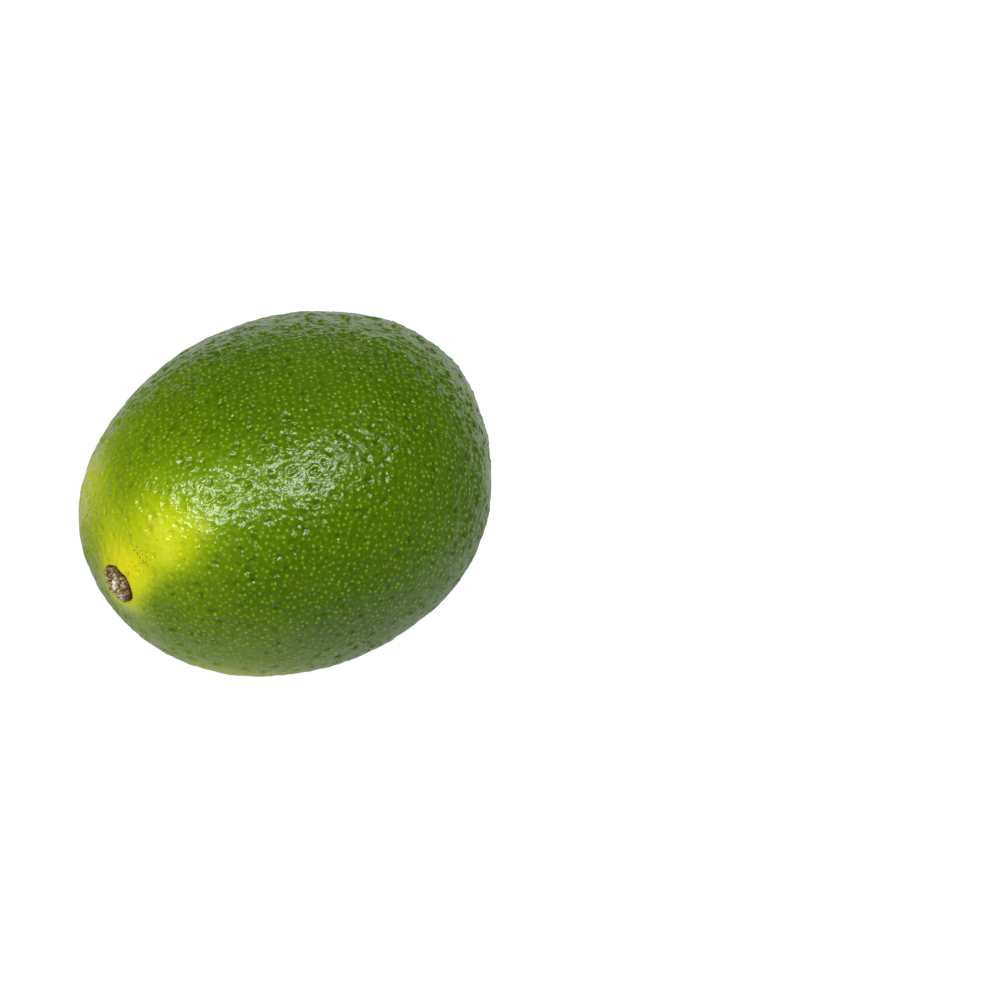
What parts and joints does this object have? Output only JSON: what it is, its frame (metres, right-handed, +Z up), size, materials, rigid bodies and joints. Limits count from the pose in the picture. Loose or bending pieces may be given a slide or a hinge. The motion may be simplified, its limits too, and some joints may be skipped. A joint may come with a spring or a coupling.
{
  "type": "lime",
  "caption": "Whole fresh lime lying on its side, with glossy pebbled green peel, a low blossom tip and a dried stem button",
  "frame": {"origin": "on the surface that the fruit rests on, under the middle of the object's box", "axes": "+Z up; +X along the fruit's long axis towards the blossom end, so the stem button faces -X"},
  "size_m": [0.0688, 0.0566, 0.049],
  "materials": {
    "peel": "satin",
    "dried_calyx": "matte"
  },
  "bodies": {
    "root": {"fruit": "peel", "stem_button": "dried_calyx"}
  },
  "joints": []
}
